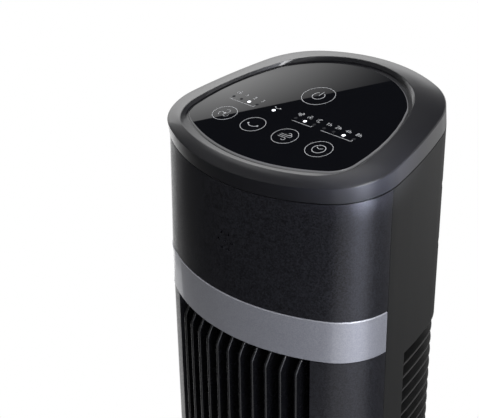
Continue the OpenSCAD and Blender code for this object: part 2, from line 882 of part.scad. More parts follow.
rubber_feet();
base_tray();
ballast_plate();
base_cover();
cord_grommet();
base_screws();
swivel_post();
post_screws();
slip_ring();
keeper_washer();
retaining_ring();
fixed_gear();
tower_foot();
front_shell();
rear_shell();
rear_grille();
outlet_grille();
silver_band();
scroll_wall();
air_tongue();
lower_bulkhead();
upper_bulkhead();
top_bush();
bush_mount();
shell_screws();
handle_cup();
control_cap();
touch_glass();
control_board();
light_block();
touch_springs();
cap_screws();
power_board();
beeper();
motor_laminations();
motor_windings();
lower_motor_bracket();
upper_motor_bracket();
motor_bearings();
motor_grommets();
motor_screws();
motor_capacitor();
swing_bracket();
swing_motor();
swing_screws();
motor_rotor();
motor_shaft();
impeller_hub();
impeller();
impeller_pin();
swing_pinion();
pinion_shaft();
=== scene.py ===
# %% [markdown]
# # A tower fan, dressed round its CAD parts
#
# The CAD model already holds every part of the fan, in its real size and place.
# This lesson gives it looks: rounded mouldings instead of faceted ones, the marks on the
# control glass, and a material for each finish. The fan stands on the floor at the origin,
# its outlet faces -Y and its touch glass leans forward on top.
#
# Lengths are written in millimetres, as on a drawing, and turned to metres in one place.

# %% Load the CAD parts
import json
import math

import bmesh
import bpy
from mathutils import Matrix, Vector

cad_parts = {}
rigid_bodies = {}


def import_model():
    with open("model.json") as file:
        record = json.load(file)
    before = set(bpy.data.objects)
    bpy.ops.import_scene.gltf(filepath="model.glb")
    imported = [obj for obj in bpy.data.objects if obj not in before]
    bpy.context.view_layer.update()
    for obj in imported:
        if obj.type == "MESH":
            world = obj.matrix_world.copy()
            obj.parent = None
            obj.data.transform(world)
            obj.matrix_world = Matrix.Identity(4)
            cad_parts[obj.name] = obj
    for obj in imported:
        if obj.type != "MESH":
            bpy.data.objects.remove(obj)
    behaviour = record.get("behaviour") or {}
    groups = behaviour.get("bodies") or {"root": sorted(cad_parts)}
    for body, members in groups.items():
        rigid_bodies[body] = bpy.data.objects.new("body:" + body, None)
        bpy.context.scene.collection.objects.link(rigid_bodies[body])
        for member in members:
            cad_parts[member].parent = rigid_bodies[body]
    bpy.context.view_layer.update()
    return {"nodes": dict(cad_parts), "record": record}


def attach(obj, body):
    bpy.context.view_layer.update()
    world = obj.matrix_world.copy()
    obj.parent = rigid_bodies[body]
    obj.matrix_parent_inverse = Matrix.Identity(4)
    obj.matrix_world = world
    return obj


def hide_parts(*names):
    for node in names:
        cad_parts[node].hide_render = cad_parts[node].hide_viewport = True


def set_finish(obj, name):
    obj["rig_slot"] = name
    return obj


bpy.ops.object.select_all(action="SELECT")
bpy.ops.object.delete()
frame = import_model()
MM = 0.001

# %% [markdown]
# ## Heights and plans
#
# A moulded tower like this is drawn from a few tangent arcs: a gently curved front, tight
# front corners, nearly flat sides, soft rear corners and a curved back. The glass and the
# rim round it use the same five arcs with other radii. Working from the arcs gives smooth
# outlines at any fineness, and every outline has the same number of points, so one can be
# joined to the next without a twist.

# %% Sizes that the pieces share
# Height of the glass on the swing axis. The other leaning planes are measured from there.
PANEL_H = 945
WALL = 3
# A plan: its reach to the front, the radii of its five arcs, and where the first three end
BODY = (73.6, (127, 38, 310, 49, 105), (30, 97, 107))
GLASS = (60.6, (116, 17, 112, 30, 62), (28, 85, 117))
RIM = (66.8, (130, 29.5, 140.5, 44, 70.5), (22.5, 91, 116))
GLASS_TILT = 9.3
RIM_TILT = 9.7
SEAM_TILT = 8.2
SEAM_DROP = 13.6
GLASS_T = 2.5
# Plane between the front and rear shells, and half of the seam that it leaves
SPLIT_Y = -23
HALF_SEAM = 0.15
CAP_SEAM = 0.6
BAND_TOP = 849
BAND_Z = 820.6
OUTLET_Z = 206
OUTLET_HALF_W = 56
SHELL_Z = 43
SHELL_EDGE = 0.35
INTAKE_Y = -1.5
INTAKE_TOP = 807.5
SLAT_PITCH = 9.5
SLAT_T = 1.8
SLAT_DEPTH = 9
SLATS_FROM = INTAKE_TOP + 1
# Steps along each of the five arcs
ARC_STEPS = (12, 14, 6, 12, 12)


def facing(angle):
    """Direction at an angle from the front (-Y) towards +X."""
    return Vector((math.sin(math.radians(angle)), -math.cos(math.radians(angle))))


def half_plan(plan, inset):
    """Points of the right half of a plan, from the front to the back."""
    front, radii, ends = plan
    centre = Vector((0, radii[0] - front))
    points = []
    start = 0
    for i, steps in enumerate(ARC_STEPS):
        if i < 3:
            end = ends[i]
        elif i == 3:
            end = 180 - math.degrees(math.asin(centre.x / (radii[4] - radii[3])))
        else:
            end = 180
        for k in range(0 if i == 0 else 1, steps + 1):
            points.append(centre + (radii[i] - inset) * facing(start + k * (end - start) / steps))
        if i < 4:
            centre = centre + (radii[i] - radii[i + 1]) * facing(end)
        start = end
    return points


def plan_points(plan, inset=0):
    """The whole closed plan, right half first, then the left half back to the front."""
    half = half_plan(plan, inset)
    return half + [Vector((-p.x, p.y)) for p in half[-2:0:-1]]


def level(plan, inset, z):
    """A ring at one height."""
    return [(p.x, p.y, z) for p in plan_points(plan, inset)]


def leaning(plan, inset, tilt, depth):
    """A ring in a plane that leans forward, at a depth measured square to the plane."""
    t = math.radians(tilt)
    return [
        (p.x, p.y - depth * math.sin(t), PANEL_H + p.y * math.tan(t) + depth * math.cos(t))
        for p in plan_points(plan, inset)
    ]


def front_y(x):
    """Y of the tower's front face at x."""
    radius = BODY[1][0]
    return radius - BODY[0] - math.sqrt(radius * radius - x * x)


outline = plan_points(BODY)
wall_x = max(p.x for p in outline)
print("tower outline:", len(outline), "points,", round(2 * wall_x, 1), "mm wide")

# %% [markdown]
# ## Small tools
#
# Each step of the modelling is a Blender operator. These helpers keep the calls short: one
# clears the selection, one deletes faces by their place, and one adds a modifier and
# applies it. `wrap` lays a grid over a stack of rings, as a sheet of card is wrapped round
# formers, which is how most of the smooth shells start.

# %% Modelling helpers


def deselect():
    if bpy.context.mode != "OBJECT":
        bpy.ops.object.mode_set(mode="OBJECT")
    bpy.ops.object.select_all(action="DESELECT")


def take(piece):
    """Makes one piece the active and only selected one."""
    deselect()
    bpy.context.view_layer.objects.active = piece
    piece.select_set(True)


def edit(piece, select="SELECT", kind="VERT"):
    take(piece)
    bpy.ops.object.mode_set(mode="EDIT")
    bpy.ops.mesh.select_mode(type=kind)
    bpy.ops.mesh.select_all(action=select)


def leave():
    bpy.ops.object.mode_set(mode="OBJECT")


def name_piece(name):
    piece = bpy.context.object
    piece.name = piece.data.name = name
    return piece


def settle():
    """Gives the active piece its place in its mesh, with the object at the origin."""
    bpy.ops.object.transform_apply(location=True, rotation=True, scale=True)


def heal(piece):
    """Merges doubled points and turns all faces outwards."""
    edit(piece)
    bpy.ops.mesh.remove_doubles(threshold=0.000002)
    bpy.ops.mesh.normals_make_consistent(inside=False)
    leave()


def wrap(name, rows, closed=True):
    """A sheet whose rows of points lie on the given rings or lines, in millimetres."""
    deselect()
    columns = len(rows[0]) + (1 if closed else 0)
    bpy.ops.mesh.primitive_grid_add(
        x_subdivisions=columns - 1, y_subdivisions=len(rows) - 1, size=1, enter_editmode=False
    )
    piece = name_piece(name)
    corners = piece.data.vertices
    for j, row in enumerate(rows):
        for i in range(columns):
            corners[j * columns + i].co = Vector(row[i % len(row)]) * MM
    if closed:
        heal(piece)
    return piece


def press(piece, kind, **settings):
    """Adds a modifier and applies it."""
    take(piece)
    modifier = piece.modifiers.new(kind.title(), kind)
    for name, value in settings.items():
        setattr(modifier, name, value)
    bpy.ops.object.modifier_apply(modifier=modifier.name)


def soften(piece, width, angle=30, segments=2):
    press(
        piece, "BEVEL", width=width * MM, segments=segments, limit_method="ANGLE",
        angle_limit=math.radians(angle), use_clamp_overlap=True,
    )


def cut(piece, point, normal, clear=False, fill=False):
    """Cuts the piece along a plane. With clear, the side that the normal points to goes."""
    edit(piece)
    bpy.ops.mesh.bisect(
        plane_co=Vector(point) * MM, plane_no=normal, clear_outer=clear, use_fill=fill
    )
    leave()


def close_ends(piece):
    """Fills every open rim with one face."""
    edit(piece)
    bpy.ops.mesh.fill_holes(sides=0)
    leave()
    heal(piece)


def remove_faces(piece, test):
    """Deletes the faces whose middle, in millimetres, and normal pass the test."""
    edit(piece, "DESELECT", "FACE")
    bm = bmesh.from_edit_mesh(piece.data)
    for face in bm.faces:
        face.select_set(test(face.calc_center_median() / MM, face.normal))
    bmesh.update_edit_mesh(piece.data)
    bpy.ops.mesh.delete(type="FACE")
    leave()


def bore(piece, tool, operation="DIFFERENCE"):
    """Cuts one piece with another, which is then deleted."""
    press(piece, "BOOLEAN", object=tool, operation=operation, solver="EXACT")
    bpy.data.objects.remove(tool)


def join(name, parts):
    deselect()
    for part in parts:
        part.select_set(True)
    bpy.context.view_layer.objects.active = parts[0]
    if len(parts) > 1:
        bpy.ops.object.join()
    return name_piece(name)


def finish(piece, body, slot, nodes=(), smooth=35):
    """Smooths the piece, sets its body and finish, and hides the CAD nodes it stands for."""
    take(piece)
    settle()
    bpy.ops.object.shade_smooth_by_angle(angle=math.radians(smooth))
    press(piece, "WEIGHTED_NORMAL", keep_sharp=True)
    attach(piece, body)
    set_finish(piece, slot)
    if nodes:
        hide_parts(*nodes)
    print(piece.name, len(piece.data.polygons), "faces")


# %% [markdown]
# ## Front shell
#
# The front of the tower is one moulding, sprayed in a black paint with fine metal flakes.
# It ends at a straight seam on each side, has a shallow channel where the silver band is
# snapped in, a tall window for the air, and seven small holes for the beeper.
# A whole sleeve is wrapped first and then cut at the seams, so front and rear shells share
# one outline. Solidify gives the 3 mm wall, and a small bevel catches light at each edge.

# %% Front shell
SHELL_TOP = leaning(BODY, 0, SEAM_TILT, -SEAM_DROP - CAP_SEAM)
BAND_SEAT = 1.6
front_shell = wrap("front_shell_moulding", [
    level(BODY, 0, SHELL_Z),
    level(BODY, 0, OUTLET_Z),
    level(BODY, 0, BAND_Z),
    level(BODY, BAND_SEAT, BAND_Z),
    level(BODY, BAND_SEAT, BAND_TOP),
    level(BODY, 0, BAND_TOP),
    SHELL_TOP,
])
cut(front_shell, (0, SPLIT_Y - HALF_SEAM, 0), (0, 1, 0), clear=True)
for side in (-1, 1):
    cut(front_shell, (side * OUTLET_HALF_W, 0, 0), (1, 0, 0))
remove_faces(front_shell, lambda c, n: abs(c.x) < OUTLET_HALF_W and OUTLET_Z < c.z < BAND_Z + 0.1)
press(front_shell, "SOLIDIFY", thickness=WALL * MM, offset=-1, use_even_offset=True)
soften(front_shell, SHELL_EDGE)

# %% [markdown]
# The beeper sits behind seven holes of 1.5 mm, one in the middle and six round it. They are
# drilled with a Boolean, because at this size a hole has to be real to look dark, and then
# sunk with a cone.

# %% Beeper holes
HOLE_Z = 884
HOLE_RING = 5.6
HOLE_R = 0.75
DRILL_H = 12
SINK_H = 1.2
for bit_r, mouth_r, depth in ((HOLE_R, HOLE_R, DRILL_H), (HOLE_R - 0.3, HOLE_R + 0.5, SINK_H)):
    drills = []
    for k in range(7):
        turn = math.radians(60 * k)
        reach = HOLE_RING if k < 6 else 0
        place = (reach * math.cos(turn), -BODY[0], HOLE_Z + reach * math.sin(turn))
        deselect()
        bpy.ops.mesh.primitive_cone_add(
            vertices=16, radius1=bit_r * MM, radius2=mouth_r * MM, depth=depth * MM,
            rotation=(math.pi / 2, 0, 0), location=Vector(place) * MM,
        )
        drills.append(name_piece("drill"))
    bore(front_shell, join("drills", drills))
finish(front_shell, "tower", "shell_metallic_black", ["front_shell"])

# %% [markdown]
# ## Silver band
#
# A thin trim strip, moulded and painted silver, lies in the channel of the front shell and
# stands a little proud of it. Its softened upper edge is what shows as a bright line.

# %% Silver band
PROUD = 0.35
BAND_T = 1.8
BAND_PLAY = 0.15
BAND_EDGE = 0.6
band = wrap("silver_trim_band", [
    level(BODY, -PROUD, BAND_Z + BAND_PLAY), level(BODY, -PROUD, BAND_TOP - BAND_PLAY),
])
cut(band, (0, SPLIT_Y - HALF_SEAM, 0), (0, 1, 0), clear=True)
press(band, "SOLIDIFY", thickness=BAND_T * MM, offset=-1, use_even_offset=True)
soften(band, BAND_EDGE, segments=1)
finish(band, "tower", "band_silver", ["silver_band"])

# %% [markdown]
# ## Rear shell
#
# The back half is moulded in a plain dark grey plastic with a fine matt texture. It has a
# wide window for the intake, an opening for the carrying cup, and eight deep holes through
# which the screws reach the front shell.

# %% Rear shell
CUP_HALF_W = 48
CUP_Z = (858, 899)
CUP_BACK = 44
CUP_FIT = 0.3
SCREWS = [(x, z) for x in (-64, 64) for z in (80, 165, 859, 899)]
SCREW_HOLE_R = 3.8
BOSS_R = 5.4
BOSS_T = 1.6


def at_screws(name, radius, depth, middle_y, end_fill="NGON"):
    """Cylinders from front to back, one at each screw."""
    pieces = []
    for x, z in SCREWS:
        deselect()
        bpy.ops.mesh.primitive_cylinder_add(
            vertices=24, radius=radius * MM, depth=depth * MM, end_fill_type=end_fill,
            rotation=(math.pi / 2, 0, 0), location=Vector((x, middle_y, z)) * MM,
        )
        pieces.append(name_piece(name))
    return pieces


slat_count = math.floor((SLATS_FROM - SLAT_T - OUTLET_Z) / SLAT_PITCH)
intake_z = SLATS_FROM - SLAT_PITCH * slat_count - SLAT_T
rear_shell = wrap("rear_shell_moulding", [level(BODY, 0, SHELL_Z), SHELL_TOP])
cut(rear_shell, (0, SPLIT_Y + HALF_SEAM, 0), (0, -1, 0), clear=True)
cut(rear_shell, (0, INTAKE_Y, 0), (0, 1, 0))
mouth_half_w = CUP_HALF_W + CUP_FIT
mouth_low = CUP_Z[0] - CUP_FIT
mouth_high = CUP_Z[1] + CUP_FIT
for z in (intake_z, INTAKE_TOP, mouth_low, mouth_high):
    cut(rear_shell, (0, 0, z), (0, 0, 1))
for side in (-1, 1):
    cut(rear_shell, (side * mouth_half_w, 0, 0), (1, 0, 0))
remove_faces(rear_shell, lambda c, n: c.y > INTAKE_Y and intake_z < c.z < INTAKE_TOP)
remove_faces(
    rear_shell, lambda c, n: c.y > CUP_BACK and abs(c.x) < mouth_half_w and mouth_low < c.z < mouth_high
)
press(rear_shell, "SOLIDIFY", thickness=WALL * MM, offset=-1, use_even_offset=True)
soften(rear_shell, SHELL_EDGE)
bore(rear_shell, join("drills", at_screws("drill", SCREW_HOLE_R, depth=60, middle_y=50)))
finish(rear_shell, "tower", "shell_matt_grey", ["rear_shell"])

# %% [markdown]
# Each screw hole goes on inside as a tube, the boss that the screw head pulls against. It
# is a cylinder with open ends, to which Solidify gives a wall.

# %% Screw bosses
bosses = at_screws("boss", BOSS_R, depth=57, middle_y=6.5, end_fill="NOTHING")
for tube in bosses:
    take(tube)
    settle()
    press(tube, "SOLIDIFY", thickness=BOSS_T * MM, offset=-1)
finish(join("rear_shell_bosses", bosses), "tower", "shell_matt_grey")

# %% [markdown]
# ## Carrying cup
#
# A recess in the back of the head, deep enough for the fingers. A box is added, its back
# face is taken away, its edges are rounded, Solidify gives it a wall, and the open edge is
# trimmed to the curve of the shell by intersecting it with a plug of the same outline.

# %% Carrying cup
CUP_BOX_D = 60
CUP_CORNER = 5
CUP_T = 2
deselect()
bpy.ops.mesh.primitive_cube_add(
    size=1, scale=Vector((2 * CUP_HALF_W, CUP_BOX_D, CUP_Z[1] - CUP_Z[0])) * MM,
    location=Vector((0, CUP_BACK + CUP_BOX_D / 2, (CUP_Z[0] + CUP_Z[1]) / 2)) * MM,
)
cup = name_piece("carrying_cup")
settle()
remove_faces(cup, lambda c, n: n.y > 0.9)
edit(cup, "DESELECT", "EDGE")
bm = bmesh.from_edit_mesh(cup.data)
for edge in bm.edges:
    edge.select_set(len(edge.link_faces) == 2)
bmesh.update_edit_mesh(cup.data)
bpy.ops.mesh.bevel(offset=CUP_CORNER * MM, segments=5, affect="EDGES")
leave()
press(cup, "SOLIDIFY", thickness=CUP_T * MM, offset=-1)
plug = wrap("plug", [level(BODY, 0.2, CUP_Z[0] - 20), level(BODY, 0.2, CUP_Z[1] + 20)])
close_ends(plug)
bore(cup, plug, "INTERSECT")
soften(cup, 0.3, angle=50)
finish(cup, "tower", "shell_matt_grey", ["handle_cup"])

# %% [markdown]
# ## Intake grille
#
# The air goes in through some sixty curved slats round the back. One slat is wrapped from its
# section, a flat blade with a rounded nose, then cut to the window and copied downwards.
# Seven upright ribs and two jambs hold the slats on the inside.

# %% One slat, then its copies
# How far each corner lies behind the wall, and its height
SLAT_SECTION = (
    (0.8, 0), (0.2, -0.3), (0, -0.9), (0.2, -1.5), (0.8, -SLAT_T),
    (SLAT_DEPTH, -SLAT_T), (SLAT_DEPTH, 0), (0.8, 0),
)
slat = wrap("slat", [level(BODY, inset, SLATS_FROM + dz) for inset, dz in SLAT_SECTION])
cut(slat, (0, INTAKE_Y + 0.1, 0), (0, -1, 0), clear=True, fill=True)
heal(slat)
slats = []
for k in range(1, slat_count + 1):
    copy = slat.copy()
    copy.data = slat.data.copy()
    bpy.context.collection.objects.link(copy)
    copy.data.transform(Matrix.Translation((0, 0, -SLAT_PITCH * k * MM)))
    slats.append(copy)
bpy.data.objects.remove(slat)


def wall_reach(inset, angle):
    """Distance from the swing axis to the tower's wall, at an angle from the back."""
    turn = math.radians(angle)
    heading = Vector((math.sin(turn), math.cos(turn)))
    best = max(plan_points(BODY, inset), key=lambda p: p.normalized().dot(heading))
    return best.length


def bar(name, size, place, turn=0):
    """An upright or level bar with softened edges."""
    deselect()
    bpy.ops.mesh.primitive_cube_add(
        size=1, scale=Vector(size) * MM, location=Vector(place) * MM, rotation=(0, 0, turn)
    )
    piece = name_piece(name)
    settle()
    soften(piece, min(size) * 0.2, angle=50, segments=1)
    return piece


RIB_ANGLES = range(-75, 76, 25)
RIB_SIZE = (2, 3)
JAMB_SIZE = (5, 2)
# How far the middle of a rib lies between the slats, and its play above and below
RIB_BITE = 1.2
RIB_PLAY = 0.4
middle_z = (INTAKE_TOP + intake_z) / 2
rib_h = INTAKE_TOP - intake_z - 2 * RIB_PLAY
ribs = []
for angle in RIB_ANGLES:
    turn = math.radians(angle)
    reach = wall_reach(SLAT_DEPTH - RIB_BITE, angle)
    place = (reach * math.sin(turn), reach * math.cos(turn), middle_z)
    ribs.append(bar("rib", (*RIB_SIZE, rib_h), place, -turn))
for side in (-1, 1):
    ribs.append(bar("jamb", (*JAMB_SIZE, rib_h), (side * (wall_x - 6.5), INTAKE_Y + 1.3, middle_z)))
finish(join("intake_grille", slats + ribs), "tower", "abs_black", ["rear_grille"])

# %% [markdown]
# ## Outlet grille
#
# Eleven upright fins stand in the outlet window, their front edges level with the shell and
# slanting back at both ends. One fin is the side view of such a blade, filled and extruded
# to its thickness, with its edges rounded. Behind them are the cross bars that hold them.

# %% Outlet fins
FIN_COUNT = 11
FIN_PITCH = 9.5
FIN_T = 2
FIN_EDGE = 0.95
FIN_BACK = -47
FIN_Z = (OUTLET_Z + 2.4, BAND_Z - 3.4)
# How far the front edge lies back, and at what distance from each end
FIN_BEND = ((6.4, 0), (5.2, 0.4), (4.2, 1.6), (1.2, 6.6), (0.4, 8), (0, 9.6))


def fin_outline(front):
    """Side view of a fin: the back edge is straight, the front one slants back at both ends."""
    low = [(front + back, FIN_Z[0] + reach) for back, reach in FIN_BEND]
    high = [(front + back, FIN_Z[1] - reach) for back, reach in FIN_BEND[::-1]]
    return [(FIN_BACK, FIN_Z[0])] + low + high + [(FIN_BACK, FIN_Z[1])]


fins = []
for i in range(FIN_COUNT):
    x = (i - (FIN_COUNT - 1) / 2) * FIN_PITCH
    edge_points = fin_outline(front_y(abs(x)))
    deselect()
    bpy.ops.mesh.primitive_circle_add(vertices=len(edge_points), radius=1, fill_type="NGON")
    fin = name_piece("fin")
    for corner, (y, z) in zip(fin.data.vertices, edge_points):
        corner.co = Vector((x - FIN_T / 2, y, z)) * MM
    edit(fin)
    bpy.ops.mesh.extrude_region_move(TRANSFORM_OT_translate={"value": (FIN_T * MM, 0, 0)})
    leave()
    heal(fin)
    soften(fin, FIN_EDGE, angle=50, segments=3)
    fins.append(fin)
CROSS_GAPS = 7
CROSS_T = 3
POST_SIZE = (2, 4)
GRILLE_FIT = 0.2
grille_half_w = OUTLET_HALF_W - GRILLE_FIT
for k in range(CROSS_GAPS + 1):
    z = FIN_Z[0] + CROSS_T / 2 + k * (FIN_Z[1] - FIN_Z[0] - CROSS_T) / CROSS_GAPS
    place = (0, FIN_BACK - CROSS_T / 2, z)
    fins.append(bar("cross_bar", (2 * grille_half_w, CROSS_T, CROSS_T), place))
for side in (-1, 1):
    place = (side * (grille_half_w - POST_SIZE[0] / 2), FIN_BACK - POST_SIZE[1] / 2, sum(FIN_Z) / 2)
    fins.append(bar("end_post", (*POST_SIZE, FIN_Z[1] - FIN_Z[0]), place))
finish(join("outlet_fins", fins), "tower", "abs_gloss_black", ["outlet_grille"])

# %% [markdown]
# ## Control cap
#
# The cap is a ring: an upright lip, a crease, a slope up to a narrow rim, a wall that goes
# down to a groove round the glass, and a ledge under the glass. Each of these edges is an
# outline of its own, so the cap is wrapped over them in turn, back to the first one. The
# bevel rounds every edge a little, and more rows on the slope give it the slight crown of a
# real moulding. At the back the rim is drawn out, which leaves a thin slope and a wider wall.

# %% Control cap
RIM_H = 1.6
RIM_W = 0.6
RIM_BACK = 0.03
CAP_EDGE = 0.6
CREASE_INSET = 0.6
CREASE_DROP = 2.4
GLASS_GAP = 0.25
GROOVE_OUT = -1.9
GROOVE_DEPTH = -1.1
# The ledge reaches this far under the glass, with a bed of glue between them
LEDGE_W = 5
LEDGE_T = 1.9
GLUE_T = 0.1
ledge_z = -GLASS_T - GLUE_T


def between(ring_a, ring_b, share, lift):
    """A ring part of the way from one to another, lifted a little to crown the surface."""
    return [
        tuple(a + (b - a) * share + (lift if k == 2 else 0) for k, (a, b) in enumerate(zip(p, q)))
        for p, q in zip(ring_a, ring_b)
    ]


def drawn_back(ring, share, tilt):
    """A ring whose rear half is drawn back by a share of its depth, within its own plane."""
    slope = math.tan(math.radians(tilt))
    return [(x, y + max(y, 0) * share, z + max(y, 0) * share * slope) for x, y, z in ring]


lip_foot = leaning(BODY, 0, SEAM_TILT, -SEAM_DROP)
lip_top = leaning(BODY, 0, GLASS_TILT, -CREASE_DROP - CREASE_INSET)
crease = leaning(BODY, CREASE_INSET, GLASS_TILT, -CREASE_DROP)
crest_out = drawn_back(leaning(RIM, 0, RIM_TILT, RIM_H), RIM_BACK, RIM_TILT)
crest_in = drawn_back(leaning(RIM, RIM_W, RIM_TILT, RIM_H), RIM_BACK, RIM_TILT)
cap = wrap("control_cap_moulding", [
    lip_foot,
    lip_top,
    crease,
    between(crease, crest_out, 0.25, 0.3),
    between(crease, crest_out, 0.5, 0.4),
    between(crease, crest_out, 0.75, 0.3),
    crest_out,
    crest_in,
    drawn_back(leaning(GLASS, GROOVE_OUT, GLASS_TILT, -0.1), RIM_BACK, GLASS_TILT),
    drawn_back(leaning(GLASS, GROOVE_OUT, GLASS_TILT, GROOVE_DEPTH), RIM_BACK, GLASS_TILT),
    leaning(GLASS, -GLASS_GAP, GLASS_TILT, GROOVE_DEPTH),
    leaning(GLASS, -GLASS_GAP, GLASS_TILT, ledge_z),
    leaning(GLASS, LEDGE_W, GLASS_TILT, ledge_z),
    leaning(GLASS, LEDGE_W, GLASS_TILT, ledge_z - LEDGE_T),
    leaning(BODY, WALL, GLASS_TILT, -GLASS_T - 5),
    leaning(BODY, WALL, SEAM_TILT, -SEAM_DROP),
    lip_foot,
])
soften(cap, CAP_EDGE, angle=11, segments=3)
finish(cap, "tower", "cap_satin_grey", ["control_cap"], smooth=40)

# %% [markdown]
# ## Touch glass
#
# A flat sheet of glass, printed black on its back. The top has to be perfectly flat, or its
# reflections would swim, so it is one filled face. The ground edge round it is clear,
# without any black behind it, and its fine light line is a painted glow of its own material.
# It is a ring of its own, because it has a finish of its own.

# %% Touch glass and its ground edge
CHAMFER = 0.45
glass = wrap("black_touch_glass", [
    leaning(GLASS, CHAMFER, GLASS_TILT, -GLASS_T), leaning(GLASS, CHAMFER, GLASS_TILT, 0),
])
close_ends(glass)
finish(glass, "tower", "touch_glass", ["touch_glass"])

EDGE_GAP = 0.02
glass_edge = wrap("ground_glass_edge", [
    leaning(GLASS, CHAMFER - EDGE_GAP, GLASS_TILT, -GLASS_T),
    leaning(GLASS, CHAMFER - EDGE_GAP, GLASS_TILT, 0),
    leaning(GLASS, 0, GLASS_TILT, -CHAMFER),
    leaning(GLASS, 0, GLASS_TILT, -GLASS_T),
    leaning(GLASS, CHAMFER - EDGE_GAP, GLASS_TILT, -GLASS_T),
])
finish(glass_edge, "tower", "touch_glass")

# %% [markdown]
# ## Printed marks and lamps
#
# The marks are printed in white on the glass. Each one is drawn flat as ribbons of 0.2 to
# 0.4 mm, given a very small thickness and then laid on the leaning glass. The lamps beside
# them are small round windows, of which one in each group is lit.

# %% Drawing tools for the marks
LINE = 0.28
ICON_LINE = 0.37
FIGURE_LINE = 0.34
# How far the marks and lamps stand off the glass, and how thick they are
LIFT = 0.01
PRINT_T = 0.03
WINDOW_T = 0.02
marks = []


def ribbon(points, width=LINE, closed=False):
    """A flat line of even width through the given points."""
    count = len(points)
    left = []
    right = []
    for i, p in enumerate(points):
        before = Vector(points[i - 1] if closed or i else p)
        after = Vector(points[(i + 1) % count] if closed or i < count - 1 else p)
        along = (after - before).normalized()
        aside = Vector((-along.y, along.x)) * width / 2
        left.append((p[0] + aside.x, p[1] + aside.y, 0))
        right.append((p[0] - aside.x, p[1] - aside.y, 0))
    marks.append(wrap("mark", [right, left], closed))


def arc(x, y, radius, start, end, steps):
    """Points of an arc, angles in degrees anticlockwise from +X."""
    turns = [math.radians(start + (end - start) * k / steps) for k in range(steps + 1)]
    return [(x + radius * math.cos(a), y + radius * math.sin(a)) for a in turns]


def ring_mark(x, y, radius, width=LINE):
    ribbon(arc(x, y, radius, 0, 360, 56)[:-1], width, closed=True)


def dot(x, y, radius):
    deselect()
    bpy.ops.mesh.primitive_circle_add(
        vertices=24, radius=radius * MM, fill_type="NGON", location=Vector((x, y, 0)) * MM
    )
    piece = name_piece("dot")
    settle()
    return piece


# Strokes of the figures that stand beside the lamps, in a box 0.6 wide and 1 high
FIGURES = {
    "1": [[(0.12, 0.78), (0.34, 1), (0.34, 0)]],
    "2": [[(0.02, 0.8), (0.12, 0.97), (0.32, 1), (0.5, 0.9), (0.52, 0.7), (0.02, 0), (0.56, 0)]],
    "3": [[(0.04, 0.95), (0.3, 1), (0.5, 0.88), (0.48, 0.64), (0.24, 0.54), (0.5, 0.44),
           (0.54, 0.18), (0.32, 0), (0.02, 0.06)]],
    "4": [[(0.44, 0), (0.44, 1), (0.0, 0.3), (0.6, 0.3)]],
    "8": [[(0.3, 0.54), (0.08, 0.66), (0.08, 0.9), (0.3, 1), (0.52, 0.9), (0.52, 0.66), (0.3, 0.54),
           (0.04, 0.4), (0.04, 0.12), (0.3, 0), (0.56, 0.12), (0.56, 0.4), (0.3, 0.54)]],
    "h": [[(0.06, 1), (0.06, 0)], [(0.06, 0.4), (0.26, 0.6), (0.48, 0.5), (0.5, 0)]],
}


def label(text, x, y, height):
    """Generic figures beside a lamp, centred on x and y."""
    step = 0.85 * height
    start = x - (step * len(text) - 0.2 * height) / 2
    for i, figure in enumerate(text):
        for stroke in FIGURES[figure]:
            ribbon([(start + i * step + u * height, y + (v - 0.5) * height) for u, v in stroke], FIGURE_LINE)


def lay_on_glass(piece, thickness):
    """Gives flat marks their thickness and lays them on the leaning glass."""
    heal(piece)
    edit(piece)
    bpy.ops.mesh.extrude_region_move(TRANSFORM_OT_translate={"value": (0, 0, thickness * MM)})
    leave()
    heal(piece)
    lean = Matrix.Translation((0, 0, PANEL_H * MM)) @ Matrix.Rotation(math.radians(GLASS_TILT), 4, "X")
    piece.data.transform(lean @ Matrix.Translation((0, 0, LIFT * MM)))


# %% Touch areas: power, timer, mode, swing and speed
POWER = (-5.2, 13.7)
TIMER = (35.5, -32.2)
MODE = (9.3, -32.1)
SWING = (-16.2, -32.3)
SPEED = (-40.4, -31.8)
for place, radius in ((POWER, 10.4), (TIMER, 8.1), (MODE, 8.0), (SWING, 7.7), (SPEED, 7.7)):
    ring_mark(*place, radius)
ribbon(arc(*POWER, 3.9, 118, 422, 36), ICON_LINE)
ribbon([(POWER[0], POWER[1] + 0.3), (POWER[0], POWER[1] + 5.2)], ICON_LINE)
ring_mark(*TIMER, 4.0, ICON_LINE)
hands = [(TIMER[0] - 2.45, TIMER[1] + 1.16), TIMER, (TIMER[0] + 1.86, TIMER[1] + 1.46)]
ribbon(hands[:2], FIGURE_LINE)
ribbon(hands[1:], FIGURE_LINE)


def wind(x, y, size):
    """Three streams of air that curl up at their ends."""
    radius = 0.3 * size
    for shift, reach, turn in ((0.34, 0.32, 1), (0.0, 0.62, 1), (-0.34, 0.22, -1)):
        end = (x + reach * size, y + shift * size)
        curl = arc(end[0], end[1] + turn * radius, radius, -90 * turn, 150 * turn, 12)
        ribbon([(x - size, end[1]), end] + curl[1:])


def swing_arc(x, y, size):
    """A shallow arc with a dot at each end, for the swing of the tower."""
    radius = 1.25 * size
    ribbon(arc(x, y + size, radius, 215, 325, 14), ICON_LINE if size > 3 else LINE)
    for end in arc(x, y + size, radius, 215, 325, 1):
        marks.append(dot(*end, 0.1 * size + 0.25))


def blades(x, y, size):
    """A fan with three blades."""
    for turn in (90, 210, 330):
        a = math.radians(turn)
        middle = (x + 0.52 * size * math.cos(a), y + 0.52 * size * math.sin(a))
        ribbon(arc(*middle, 0.4 * size, turn + 160, turn + 420, 12), LINE * 0.9)
    marks.append(dot(x, y, 0.14 * size))


def moon(x, y, size):
    """A crescent, for sleep."""
    outer = arc(x, y, size, 50, 310, 18)
    inner = arc(x + 0.55 * size, y, 0.82 * size, 290, 70, 14)
    ribbon(outer + inner[1:-1], LINE * 0.8, closed=True)


